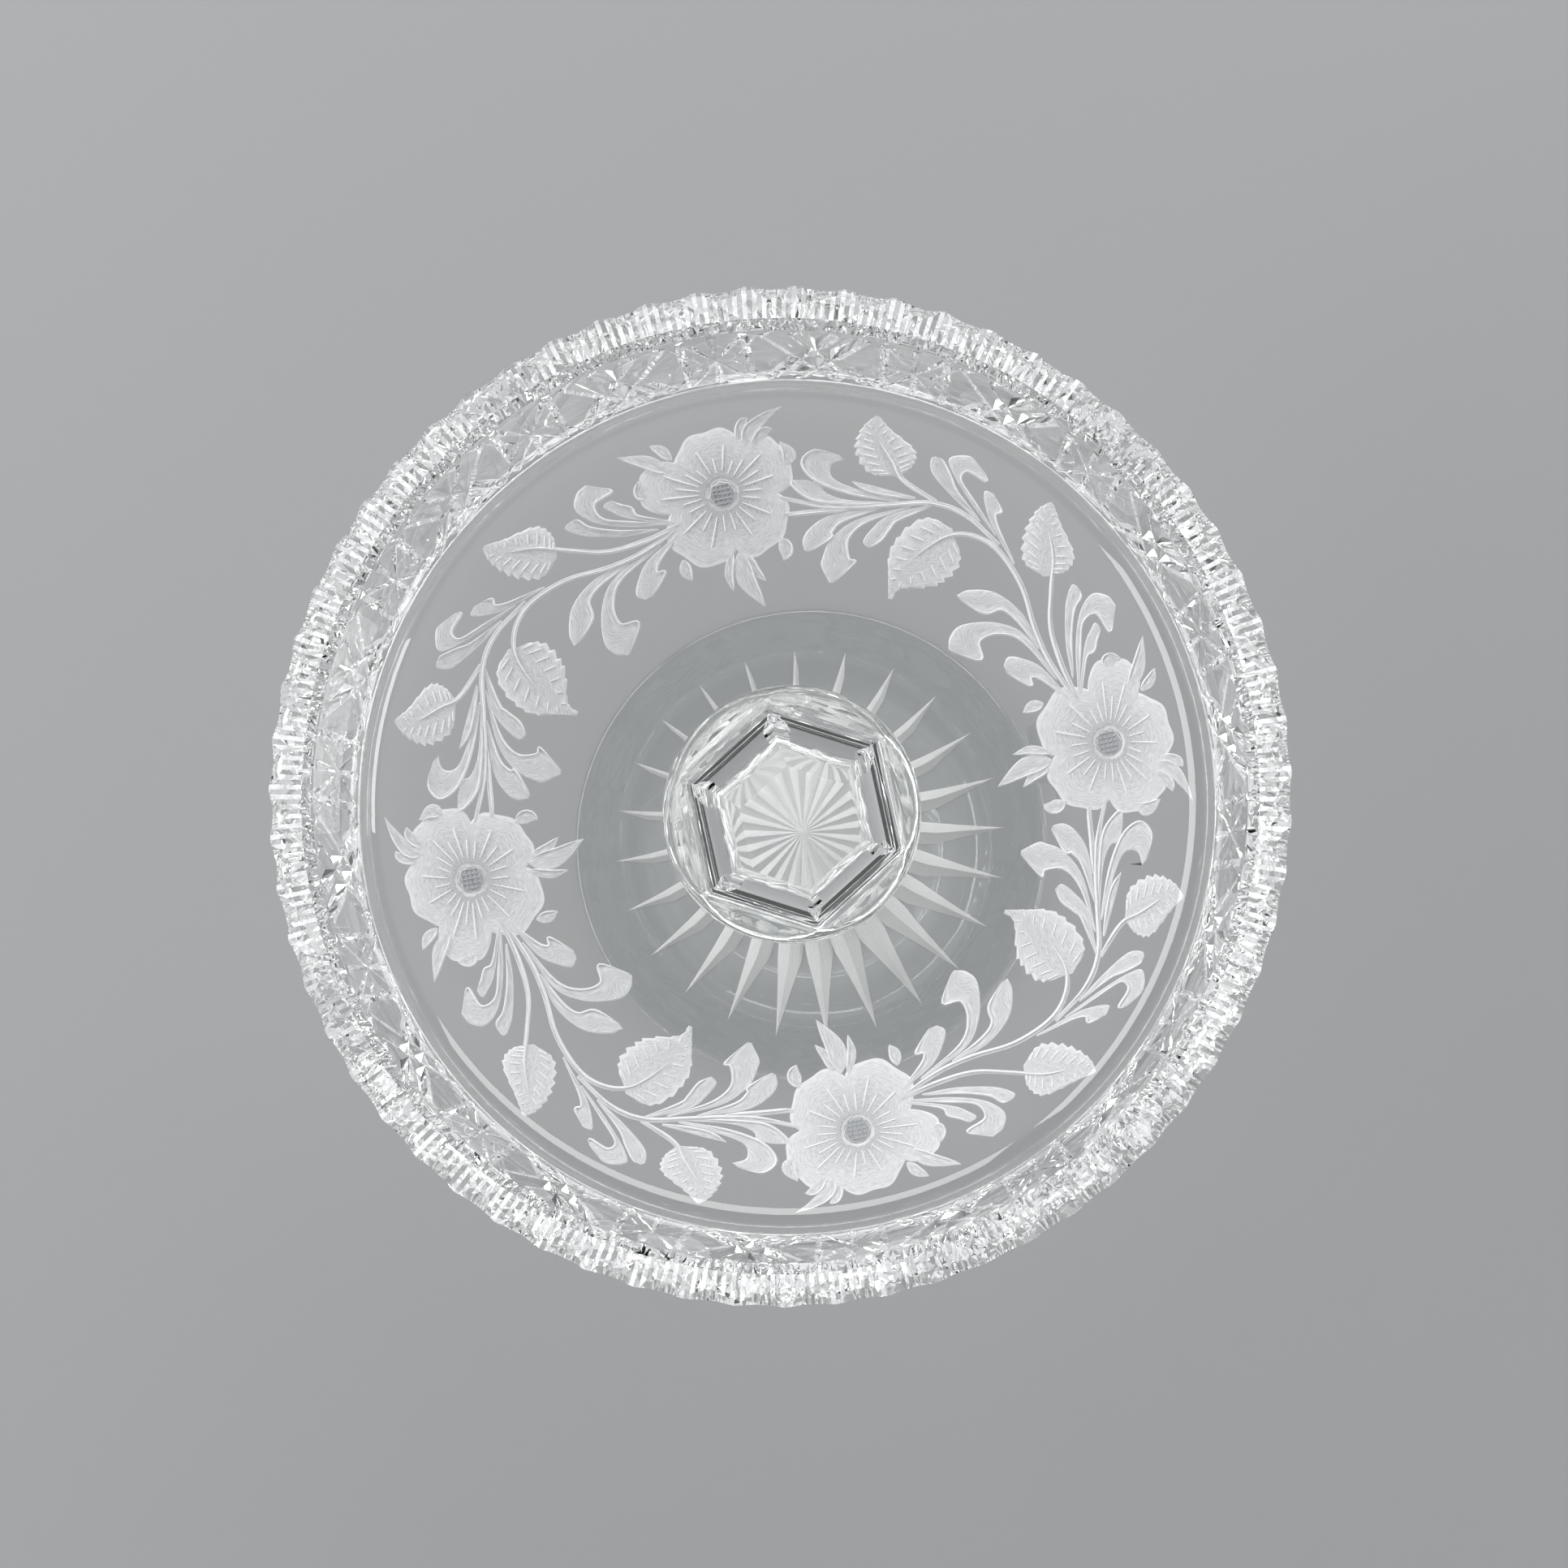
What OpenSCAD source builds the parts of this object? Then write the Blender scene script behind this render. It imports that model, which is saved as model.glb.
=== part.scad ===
// Cut glass compote: a dished bowl with a scooped rim and a band of mitre cutting,
// on a collar, a six-sided hollow-cut stem and a round foot with a star cut beneath.
// Origin at the centre of the foot's underside, +Z up.

/* [Bowl] */
// Outside diameter of the bowl at its rim
bowl_d = 229; // [180:1:280]
// Height of the bowl, from its seat on the collar to the top of the rim
bowl_h = 66; // [54:1:85]
// Width of the flat top of the rim
rim_w = 9.7; // [8:0.1:14]
// Bevel along the inner edge of the rim
lip_bevel = 2.4; // [1:0.1:3]
// Thickness of the glass at the centre of the bowl
floor_t = 9; // [6:0.5:14]
// Lean of the outer wall from upright, in degrees
outer_lean = 11; // [6:0.5:16]
// Lean of the inner wall from upright, in degrees
inner_lean = 11; // [6:0.5:18]
// Radius of the turn from the outer wall to the underside
outer_heel_r = 8; // [5:1:16]
// Radius of the turn from the inner wall to the dish
inner_heel_r = 14; // [8:1:25]
// Radius of the dished underside
underside_r = 320; // [250:5:420]
// Radius of the dish inside
dish_r = 235; // [190:5:320]

/* [Rim scoops] */
// Number of scoops round the rim
scoop_n = 63; // [40:1:80]
// Depth of a scoop below the corner of the rim
scoop_depth = 2.2; // [1:0.1:3]
// Uncut land between two scoops
scoop_land = 1.2; // [0.6:0.1:3]
// Turn of the first scoop, in degrees
scoop_turn = 5.3; // [0:0.1:9]

/* [Cut band] */
// Number of crossed-bar motifs, with a star panel between each two
cross_n = 14; // [8:1:16]
// Turn of the first crossed-bar motif, in degrees
cross_turn = 8.9; // [0:0.1:30]
// Depth of the band's upper edge below the rim
band_drop = 12.5; // [10:0.5:18]
// Height of the band
band_h = 31; // [20:0.5:34]
// Depth of a broad mitre cut, which is half its width
mitre_depth = 2.7; // [1.5:0.1:3.5]
// Lean of the broad mitre cuts, in degrees
mitre_lean = 29; // [20:1:38]
// Spacing of the two parallel mitre cuts of a pair, along the band
mitre_gap = 7; // [6:0.1:9]
// Depth of a star panel's cuts, which is half their width
star_depth = 1.1; // [0.6:0.1:1.6]
// Distance of a star panel's side cuts from its middle, along the band
star_half_w = 7.8; // [6:0.1:9]

/* [Collar] */
// Diameter of the collar between bowl and stem
collar_d = 62; // [50:1:75]
// Thickness of the collar
collar_h = 5; // [3:0.5:9]

/* [Stem] */
// Height of the stem
stem_h = 97; // [70:1:130]
// Width of the stem across its flats
stem_flats = 31; // [26:1:38]
// Diameter of the round flare under the collar
stem_top_d = 59; // [48:1:72]
// Diameter of the round flare on the foot
stem_foot_d = 50; // [42:1:60]
// Radius of the hollow panels where they flare to the collar
top_flare_r = 24; // [16:1:34]
// Radius of the hollow panels where they flare to the foot
foot_flare_r = 15; // [10:1:24]
// Thickness left uncut at each end of the stem
stem_land = 2; // [1:0.5:4]
// Distance of the turned column outside the corners of its flats
stem_edge = 1; // [0.5:0.1:2]
// Turn of the first flat, in degrees
stem_turn = 12.5; // [0:0.5:60]

/* [Foot] */
// Diameter of the foot
foot_d = 130; // [110:1:170]
// Height of the foot, from the table to the stem
foot_h = 16; // [12:0.5:24]
// Thickness of the foot at its edge
foot_edge_h = 4.5; // [3:0.5:8]
// Radius of the rounded edge of the foot, on its upper side
foot_edge_r = 2; // [1:0.5:2.5]
// Bevel of the foot's lower edge
foot_bevel = 0.8; // [0.4:0.1:1.5]
// Sag of the foot's upper face below a straight cone
foot_sag = 4; // [1:0.5:6]
// Number of rays in the star
ray_n = 24; // [12:1:32]
// Width of the flat ring that the foot stands on
ground_w = 11.5; // [6:0.5:20]
// Radius at which two rays of the star meet
ray_root_r = 27; // [18:1:34]
// Depth of the star at its centre
star_cut_h = 5; // [2:0.5:7]
// Turn of the first ray, in degrees
star_turn = 5; // [0:0.5:15]

/* [Hidden] */
$fn = 96;

glass = [0.86, 0.90, 0.91, 0.55];
arc_steps = 12;
heel_steps = 8;
stem_sides = 6;
cut_extra = 1;

bowl_r = bowl_d / 2;
collar_r = collar_d / 2;
foot_r = foot_d / 2;
stem_top_r = stem_top_d / 2;
stem_foot_r = stem_foot_d / 2;
flat_r = stem_flats / 2;
column_r = flat_r / cos(180 / stem_sides) + stem_edge;

stem_z = foot_h;
collar_z = stem_z + stem_h;
bowl_z = collar_z + collar_h;
rim_z = bowl_z + bowl_h;
inside_z = bowl_z + floor_t;

scoop_pitch = 360 / scoop_n;
scoop_half = bowl_r * sin(scoop_pitch / 2) - scoop_land / 2;
scoop_r = (scoop_half ^ 2 + scoop_depth ^ 2) / (2 * scoop_depth);

cross_pitch = 360 / cross_n;
band_mid = band_drop + band_h / 2;
band_z = rim_z - band_mid;
band_r = bowl_r - band_mid * tan(outer_lean);
slant_h = band_h / cos(outer_lean);
mitre_len = slant_h / cos(mitre_lean) - 2 * mitre_depth * tan(mitre_lean);
star_lean = atan(2 * star_half_w / slant_h);

// Points of an arc about a centre, from one angle to another
function arc(centre, r, from, to, steps) = [
    for (i = [0 : steps])
        let (a = from + (to - from) * i / steps)
        centre + r * [cos(a), sin(a)]
];

// Outline of one face of the bowl, from the top of its leaning wall, round its heel and along
// its dish down to the radius end_r; the dish is centred on the axis at the height dish_c
function bowl_line(top, lean, heel_r, dish_sphere, dish_c, end_r) =
    let (down = [-sin(lean), -cos(lean)],
         inward = [-cos(lean), sin(lean)],
         start = top + heel_r * inward - [0, dish_c],
         along = start * down,
         reach = -along + sqrt(along ^ 2 - start * start + (dish_sphere - heel_r) ^ 2),
         heel_c = top + heel_r * inward + reach * down,
         heel_end = atan2(heel_c.y - dish_c, heel_c.x),
         dish_end = -acos(end_r / dish_sphere))
    concat([top],
           arc(heel_c, heel_r, -lean, heel_end, heel_steps),
           [for (i = [1 : arc_steps])
                let (a = heel_end + (dish_end - heel_end) * i / arc_steps)
                [dish_sphere * cos(a), dish_c + dish_sphere * sin(a)]]);

// Solid of revolution between the outer and the inner face of the bowl
module bowl_blank() {
    outer_c = bowl_z + sqrt(underside_r ^ 2 - collar_r ^ 2);
    lip_r = bowl_r - rim_w;
    outer = bowl_line([bowl_r, rim_z], outer_lean, outer_heel_r, underside_r, outer_c, collar_r);
    inner = bowl_line([lip_r, rim_z - lip_bevel], inner_lean, inner_heel_r, dish_r, inside_z + dish_r, 0);
    inner_up = [for (i = [len(inner) - 1 : -1 : 0]) inner[i]];
    rotate_extrude()
        polygon(concat([[lip_r + lip_bevel, rim_z]], outer, [[0, bowl_z]], inner_up));
}

// Round scoops across the outer corner of the rim
module rim_scoops() {
    reach = scoop_r - scoop_depth;
    for (i = [0 : scoop_n - 1])
        rotate(scoop_turn + i * scoop_pitch)
            translate([bowl_r, 0, rim_z])
                rotate([0, 45, 0])
                    translate([0, 0, reach])
                        rotate([0, 90, 0])
                            cylinder(r = scoop_r, h = 4 * rim_w, center = true);
}

// Straight mitre cut of right-angled section, with its bottom line on the Z axis
module mitre(length, depth) {
    side = 2 * depth;
    translate([side / sqrt(2), 0, 0])
        rotate(45)
            cube([side, side, length], center = true);
}

// Places cuts on the outer wall, in the middle of the band at one turn, at their full depth
module on_band(turn, depth) {
    rotate(turn)
        translate([band_r, 0, band_z])
            rotate([0, outer_lean, 0])
                translate([-depth, 0, 0])
                    children();
}

// Two pairs of parallel mitre cuts that cross
module crossed_bars(turn) {
    on_band(turn, mitre_depth)
        for (side = [-1, 1], lean = [-1, 1])
            translate([0, side * mitre_gap / 2, 0])
                rotate([lean * mitre_lean, 0, 0])
                    mitre(mitre_len, mitre_depth);
}

// Eight-pointed star: an upright cut, a level one and two leaning ones through one point, with a cut
// at each side
module star_panel(turn) {
    on_band(turn, star_depth) {
        for (lean = [-star_lean, 0, star_lean])
            rotate([lean, 0, 0])
                mitre(slant_h / cos(lean), star_depth);
        rotate([90, 0, 0])
            mitre(2 * star_half_w, star_depth);
    }
    for (side = [-1, 1])
        on_band(turn + side * asin(star_half_w / band_r), star_depth)
            mitre(slant_h, star_depth);
}

module bowl() {
    color(glass)
        difference() {
            bowl_blank();
            rim_scoops();
            for (i = [0 : cross_n - 1]) {
                crossed_bars(cross_turn + i * cross_pitch);
                star_panel(cross_turn + (i + 0.5) * cross_pitch);
            }
        }
}

module collar() {
    edge_r = collar_h / 2;
    color(glass)
        rotate_extrude()
            union() {
                translate([0, collar_z])
                    square([collar_r - edge_r, collar_h]);
                translate([collar_r - edge_r, collar_z + edge_r])
                    circle(r = edge_r);
            }
}

// Height over which a hollow panel of one flare radius runs out from the flat to the radius end_r
function run_out(flare_r, end_r) = sqrt(flare_r ^ 2 - (flat_r + flare_r - end_r) ^ 2);

panel_low_z = stem_z + stem_land + run_out(foot_flare_r, stem_foot_r);
panel_high_z = collar_z - stem_land - run_out(top_flare_r, stem_top_r);

// Half section of the turned stem, before its panels are cut
module stem_section() {
    translate([0, stem_z])
        square([column_r, stem_h]);
    difference() {
        translate([0, panel_high_z])
            square([stem_top_r, collar_z - panel_high_z]);
        translate([column_r + top_flare_r, panel_high_z])
            circle(r = top_flare_r);
    }
    difference() {
        translate([0, stem_z])
            square([stem_foot_r, panel_low_z - stem_z]);
        translate([column_r + foot_flare_r, panel_low_z])
            circle(r = foot_flare_r);
    }
}

// Side view of what one hollow panel takes off the stem
module panel_section() {
    translate([flat_r + top_flare_r, panel_high_z])
        circle(r = top_flare_r);
    translate([flat_r + foot_flare_r, panel_low_z])
        circle(r = foot_flare_r);
    translate([flat_r, panel_low_z])
        square([foot_flare_r, panel_high_z - panel_low_z]);
}

module stem() {
    color(glass)
        difference() {
            rotate_extrude()
                stem_section();
            for (i = [0 : stem_sides - 1])
                rotate(stem_turn + i * 360 / stem_sides)
                    rotate([90, 0, 0])
                        linear_extrude(height = 2 * stem_top_d, center = true)
                            panel_section();
        }
}

// Half section of the foot, with a rounded edge and a hollow upper face
function foot_line() =
    let (rim = [foot_r - foot_edge_r, foot_edge_h],
         seat = [stem_foot_r, foot_h],
         chord = norm(seat - rim),
         hollow_r = (chord ^ 2 / 4 + foot_sag ^ 2) / (2 * foot_sag),
         slope = atan2(seat.y - rim.y, rim.x - seat.x),
         middle = (rim + seat) / 2,
         centre = middle + (hollow_r - foot_sag) * [sin(slope), cos(slope)],
         half = asin(chord / 2 / hollow_r))
    concat([[0, 0], [foot_r - foot_bevel, 0], [foot_r, foot_bevel]],
           arc([foot_r - foot_edge_r, foot_edge_h - foot_edge_r], foot_edge_r, 0, 90, heel_steps),
           [for (i = [1 : arc_steps])
                let (a = 270 - slope + half - 2 * half * i / arc_steps)
                centre + hollow_r * [cos(a), sin(a)]],
           [[0, foot_h]]);

// Star of mitre rays that deepen from their tips to one point over the centre
module star_cut() {
    grow = (star_cut_h + cut_extra) / star_cut_h;
    tip_r = foot_r - ground_w;
    translate([0, 0, -cut_extra])
        linear_extrude(height = star_cut_h + cut_extra, scale = 0)
            polygon([for (i = [0 : 2 * ray_n - 1])
                let (r = grow * (i % 2 == 0 ? tip_r : ray_root_r),
                     a = star_turn + i * 180 / ray_n)
                r * [cos(a), sin(a)]]);
}

module foot() {
    color(glass)
        difference() {
            rotate_extrude()
                polygon(foot_line());
            star_cut();
        }
}

bowl();
collar();
stem();
foot();
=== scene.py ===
import math

import bmesh
import bpy
from mathutils import Matrix, Vector


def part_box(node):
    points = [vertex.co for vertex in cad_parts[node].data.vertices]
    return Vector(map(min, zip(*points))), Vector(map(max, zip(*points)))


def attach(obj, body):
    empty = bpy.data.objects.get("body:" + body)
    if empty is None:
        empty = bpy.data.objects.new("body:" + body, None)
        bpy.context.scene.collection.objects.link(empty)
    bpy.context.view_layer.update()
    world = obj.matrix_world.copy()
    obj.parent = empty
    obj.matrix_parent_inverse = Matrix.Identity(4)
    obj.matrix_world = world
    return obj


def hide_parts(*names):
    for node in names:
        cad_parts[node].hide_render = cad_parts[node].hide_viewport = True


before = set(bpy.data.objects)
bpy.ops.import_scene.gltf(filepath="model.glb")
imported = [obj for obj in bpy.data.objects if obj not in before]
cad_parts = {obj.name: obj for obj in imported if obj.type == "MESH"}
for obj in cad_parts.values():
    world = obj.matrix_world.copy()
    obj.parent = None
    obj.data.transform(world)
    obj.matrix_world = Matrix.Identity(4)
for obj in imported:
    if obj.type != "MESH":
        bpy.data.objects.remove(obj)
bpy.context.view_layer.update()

MM = 0.001
FULL_TURN = 2 * math.pi


def top_of(node):
    """Height of a CAD node's top, in millimetres above the table."""
    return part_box(node)[1][2] / MM


# Heights of the joints and the rim
FOOT_TOP_Z = top_of("foot")
STEM_TOP_Z = top_of("stem")
BOWL_Z = top_of("collar")
RIM_Z = top_of("bowl")

# Bowl
BOWL_R = 114.5
RIM_W = 9.7
LIP_BEVEL = 2.4
FLOOR_T = 9.0
OUTER_LEAN = 11.0
INNER_LEAN = 11.0
OUTER_HEEL_R = 8.0
INNER_HEEL_R = 14.0
UNDERSIDE_R = 320.0
DISH_R = 235.0

# Scoops round the outer corner of the rim, and fine flutes across its top with points on the lip
SCOOP_N = 63
SCOOP_DEPTH = 2.2
SCOOP_LAND = 1.2
SCOOP_TURN = 5.3
SCOOP_SEGMENTS = 72
SCOOP_BATCHES = 3
FLUTES_PER_SCOOP = 5
FLUTE_FILL = 0.97
FLUTE_STEEP = 0.5
FLUTE_RUN_IN = 1.8
FLUTE_RUN_OUT = 2.5
POINT_SHARE = 0.85
POINT_RUN_OUT = 0.5
POINT_TIP_W = 0.05

# Cut band on the outer wall
CROSS_N = 14
CROSS_TURN = 8.9
BAND_DROP = 12.5
BAND_H = 31.0
MITRE_DEPTH = 2.7
MITRE_LEAN = 29.0
MITRE_GAP = 7.0
MITRE_TIP = 0.6
STAR_DEPTH = 1.1
STAR_ROOT = 0.35
STAR_SPREAD = 1.4
STAR_HALF_W = 7.8
STAR_SIDE_TIP = 1.5
FINE_DEPTH = 0.5
FINE_TIP = 0.4

# Collar, stem and foot
COLLAR_R = 31.0
COLLAR_EDGE_R = 2.5
STEM_SIDES = 6
STEM_FLAT_R = 15.5
STEM_COLUMN_R = 18.9
STEM_TOP_R = 29.5
STEM_FOOT_R = 25.0
TOP_FLARE_R = 24.0
FOOT_FLARE_R = 15.0
STEM_LAND = 2.0
STEM_TURN = 12.5
PANEL_REACH = 60.0
FOOT_R = 65.0
FOOT_EDGE_H = 4.5
FOOT_EDGE_R = 2.0
FOOT_BEVEL = 0.8
FOOT_SAG = 4.0
RAY_N = 24
RAY_TIP_R = 53.5
RAY_ROOT_R = 27.0
STAR_CUT_H = 5.0
STAR_TURN = 5.0
CUT_EXTRA = 1.0

# Heights of the centres from which the bowl's two dished faces are struck, and the radius of its lip
UNDERSIDE_Z = BOWL_Z + math.sqrt(UNDERSIDE_R ** 2 - COLLAR_R ** 2)
DISH_Z = BOWL_Z + FLOOR_T + DISH_R
LIP_R = BOWL_R - RIM_W

# Engraved garland, drawn once and repeated from flower to flower. Its points are degrees clockwise past
# the flower and radius in millimetres. Each row of a lobe or leaf holds a point of its left edge and one of
# its right edge, from the stem to the tip.
# Lobes of the sprays with a bright cut along their left edge
LEFT_EDGED_LOBES = (
    ((31.5, 78, 31.5, 78.5), (23, 77, 23.5, 78.5), (16.5, 79, 19.5, 80), (14, 83, 19, 83),
     (16, 86, 21, 84.5), (20, 85.5, 21, 84.5)),
    ((30.5, 77, 30.5, 77.5), (22, 74.5, 22.5, 75.5), (16, 74.5, 18.5, 76.5), (12.5, 77.5, 17.5, 78.5),
     (12.5, 79, 15, 79)),
    ((34, 80, 34, 80.5), (28.5, 78.5, 28, 80), (25.5, 78.5, 25.5, 80), (22.5, 80, 23, 80)),
    ((29, 75.5, 28.5, 75.5), (22.5, 70.5, 20, 71.5), (20.5, 67.5, 16, 68), (20.5, 66, 14.5, 65),
     (16, 62, 15, 62.5)),
    ((34, 78, 33.5, 78), (27, 71.5, 25, 71.5), (24, 66.5, 20.5, 66), (25, 62, 19, 61),
     (26.5, 61.5, 19, 59), (22.5, 55.5, 21.5, 55.5)),
    ((37.5, 80.5, 37, 80.5), (32.5, 74, 30.5, 74.5), (31.5, 71.5, 28, 70), (30.5, 68, 27, 67),
     (28.5, 65.5, 27.5, 66)),
    ((69, 70.5, 69, 71), (62.5, 70.5, 62, 72.5), (58.5, 69.5, 55.5, 71.5), (56.5, 66, 51, 68),
     (51, 64.5, 49.5, 65)),
    ((76, 70.5, 76, 71), (66, 68.5, 65.5, 70), (61.5, 65, 59.5, 66.5), (60, 60.5, 54.5, 60.5),
     (63.5, 58, 54, 56.5), (57, 54, 56, 54)),
    ((80, 71, 80, 71.5), (74.5, 67.5, 72.5, 69), (73, 65.5, 68.5, 66), (74.5, 64.5, 66.5, 63.5),
     (69.5, 61, 67.5, 61.5)),
)
# Lobes with a bright cut along their right edge
RIGHT_EDGED_LOBES = (
    ((45.5, 82, 45.5, 82.5), (39.5, 84, 40, 85.5), (35, 87, 38, 88), (34, 90, 36, 90.5),
     (34.5, 91, 35, 91)),
    ((49, 81.5, 49, 82), (42.5, 85, 43, 85.5), (38, 89, 39.5, 88.5), (36.5, 92, 40, 91),
     (39, 94.5, 43, 91), (41, 93.5, 42.5, 92.5)),
    ((54.5, 79, 54.5, 79.5), (47.5, 83, 49, 83), (44.5, 86.5, 47, 85.5), (43.5, 89, 47.5, 87),
     (45, 89.5, 45.5, 89)),
    ((77, 74, 77, 74.5), (71, 76.5, 71, 78), (65.5, 81.5, 67, 82.5), (63.5, 85.5, 66, 85.5),
     (64, 86.5, 65, 86.5)),
    ((79.5, 74, 79.5, 74.5), (72.5, 78, 73.5, 78.5), (68, 83, 69.5, 82.5), (66.5, 88, 69.5, 86.5),
     (68, 91, 73, 87), (70, 91.5, 71.5, 89.5)),
    ((80, 74, 80.5, 74.5), (73, 80, 75, 79), (71, 83.5, 74.5, 81.5), (70.5, 85, 73, 83.5),
     (71, 85.5, 72, 85.5)),
)
# Serrated leaves
LEAVES = (
    ((30, 83.5, 30.5, 84), (25, 82.5, 32, 87.5), (22, 87, 31.5, 91), (22.5, 92, 27, 94),
     (24.5, 96.5, 25, 96.5)),
    ((59.5, 82, 60, 83), (55, 81, 61.5, 87), (52, 86, 60.5, 91), (51.5, 92, 55.5, 94),
     (52.5, 96.5, 53, 96.5)),
    ((43, 76, 42, 77.5), (46.5, 72.5, 37, 77.5), (47, 67.5, 33.5, 72.5), (44.5, 63, 32.5, 66),
     (38.5, 59, 34.5, 60.5), (37.5, 56, 36.5, 56)),
)
# Stems, each a bright line with a matt band on its outer side
STEMS = (
    ((10, 74.5), (18, 73), (24, 74), (30, 76.5), (37, 80.5), (43, 81.5), (50.5, 80)),
    ((36, 62), (39, 69.5), (42, 75.5), (46, 78.5), (51, 79), (58, 76.5), (65, 72.5), (71, 71), (77, 71.5),
     (82, 73.5)),
    ((11, 70.5), (17, 71.5), (24, 73.5)),
    ((25, 91.5), (28.5, 86.5), (31, 83), (37.5, 81)),
    ((53.5, 92), (58, 87), (62, 81), (67, 75.5), (74, 73), (81, 73)),
)
STEM_W = 0.9
# Small leaves and turned petal tips round the flower: root, middle, tip and width
SMALL_LEAVES = (
    ((-12.5, 82), (-13, 84), (-12.5, 86.5), 3.0),
    ((-11, 65.5), (-11.5, 62.5), (-11, 60), 2.6),
    ((1, 63.5), (1, 57), (5, 49.5), 4.4),
    ((-0.5, 64), (-2.5, 59), (-2.5, 54.5), 1.9),
    ((2.5, 62.5), (3.5, 58.5), (6, 55.5), 2.1),
    ((-7.5, 85.5), (-10, 89.5), (-14, 93.5), 3.1),
    ((-6.5, 88), (-7.5, 91), (-9, 93), 2.3),
    ((4, 89), (5, 92.5), (6, 94), 2.2),
    ((5, 87.5), (6.5, 91.5), (11, 96.5), 2.9),
    ((6, 87), (8, 90), (9.5, 91), 2.2),
    ((11.5, 82.5), (12, 85), (10.5, 88), 3.2),
    ((10, 65.5), (11, 62.5), (10.5, 60), 3.1),
)
# Petals: direction from the flower's middle with outward as 90 degrees, half spread and reach
PETALS = ((93, 41, 15.5), (163, 26, 20), (230, 39, 18), (310, 38, 17.5), (20, 31, 18.5))

# Flowers and leaves
FLOWER_N = 4
FLOWER_TURN = 12.15
FLOWER_R = 77.4
NOTCH_R = 13.5
PETAL_OVERLAP = 1.05
RIPPLE = 0.35
RIPPLES = 9
PETAL_ROOT = 0.95
DISC_R = 3.2
DISC_DEPTH = 0.75
DISC_SIDES = 8
DISC_TAPER = 0.1
HATCH_N = 5
HATCH_GAP = 1.1
HATCH_W = 0.25
HATCH_TIP = 0.3
HATCH_R = DISC_R * math.sqrt(0.75)
LEAF_TEETH = 11
LEFT_BITE = 0.16
RIGHT_BITE = 0.1
SMALL_LEAF_TIP = 0.05
SMALL_LEAF_BELLY = 0.8

# Bright lines, with their half widths, tapering ends and depths
LINE_DEPTH = 0.8
STEM_LINE_W = 0.42
LOBE_LINE_W = 0.336
SMALL_LEAF_LINE_W = 0.294
LINE_END = 0.15
LINE_TAPER = 4
VEIN_W = 0.378
VEIN_DEPTH = 0.6
VEIN_ROOT = 0.2
VEIN_TIP = 0.8
VEIN_FIRST = 5
VEIN_LAST = 10
VEIN_GAP = 4
PETAL_LINE_W = 0.504
PETAL_LINE_DEPTH = 0.68
PETAL_LINE_N = 5
PETAL_LINE_GAP = 0.36
PETAL_LINE_LENGTHS = (0.6, 0.78)
PETAL_LINE_START = 1.3
PETAL_LINE_FAN = 1.1

# Matt cuts, with shares of their depth at places across them and a step at each end
MATT_DEPTH = 0.34
ACROSS = (0, 0.08, 0.3, 0.5, 0.7, 0.92, 1)
HOLLOW = (0, 0.75, 0.95, 1, 0.95, 0.75, 0)
PETAL_HOLLOW = (0, 0.7, 0.8, 1, 1.2, 1.4, 0)
END_STEP = 0.12

# All engraving: the most depth for its width, and how far a cutter's edge and back stand outside the glass
STEEPEST = 1.3
EDGE_STAND = 0.06
OUTSIDE = 1.0
STROKE_MAP = "stroke"
DEPTH_MAP = "cut_depth"

# Steps of round and smooth lines
SPIN_STEPS = 360
HEEL_STEPS = 14
WALL_STEPS = 4
DISH_STEPS = 24
UNDERSIDE_STEPS = 18
COLLAR_STEPS = 24
TOP_FLARE_STEPS = 28
FOOT_FLARE_STEPS = 20
FOOT_EDGE_STEPS = 12
FOOT_HOLLOW_STEPS = 24
LOBE_STEPS = 5
LEAF_STEPS = 44
SMALL_LEAF_STEPS = 6
VEIN_STEPS = 4
PETAL_STEPS = 28
PETAL_LINE_STEPS = 6

# Distances in metres that count as none, the least upward part of a level face's normal, and sharp edges
SAME_POINT = 1e-7
SAME_HEIGHT = 1e-6
LEVEL = 0.99
SHARP_ANGLE = math.radians(18)


def arc(centre, radius, start, stop, steps):
    """Points of an arc in the plane of a section, with its angles in degrees."""
    turns = [math.radians(start + (stop - start) * i / steps) for i in range(steps + 1)]
    return [(centre[0] + radius * math.cos(t), centre[1] + radius * math.sin(t)) for t in turns]


def heel(top, lean, heel_r, dish_r, dish_z):
    """Centre of the turn between a leaning wall and a dish, and the angle at which it meets the dish."""
    lean = math.radians(lean)
    down = Vector((-math.sin(lean), -math.cos(lean)))
    inward = Vector((-math.cos(lean), math.sin(lean)))
    start = Vector(top) + heel_r * inward - Vector((0, dish_z))
    along = start.dot(down)
    reach = -along + math.sqrt(along ** 2 - start.length_squared + (dish_r - heel_r) ** 2)
    centre = Vector(top) + heel_r * inward + reach * down
    return centre, math.degrees(math.atan2(centre.y - dish_z, centre.x))


def wall_line(top, lean, heel_r, dish_r, dish_z, end_r, dish_steps):
    """Section of one face of the bowl, from the top of its wall down and in to a radius."""
    centre, heel_end = heel(top, lean, heel_r, dish_r, dish_z)
    dish_end = -math.degrees(math.acos(end_r / dish_r))
    turn = arc(centre, heel_r, -lean, heel_end, HEEL_STEPS)
    dish = arc((0, dish_z), dish_r, heel_end, dish_end, dish_steps)
    wall = [tuple(Vector(top).lerp(Vector(turn[0]), i / WALL_STEPS)) for i in range(WALL_STEPS)]
    return wall + turn + dish[1:]


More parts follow.
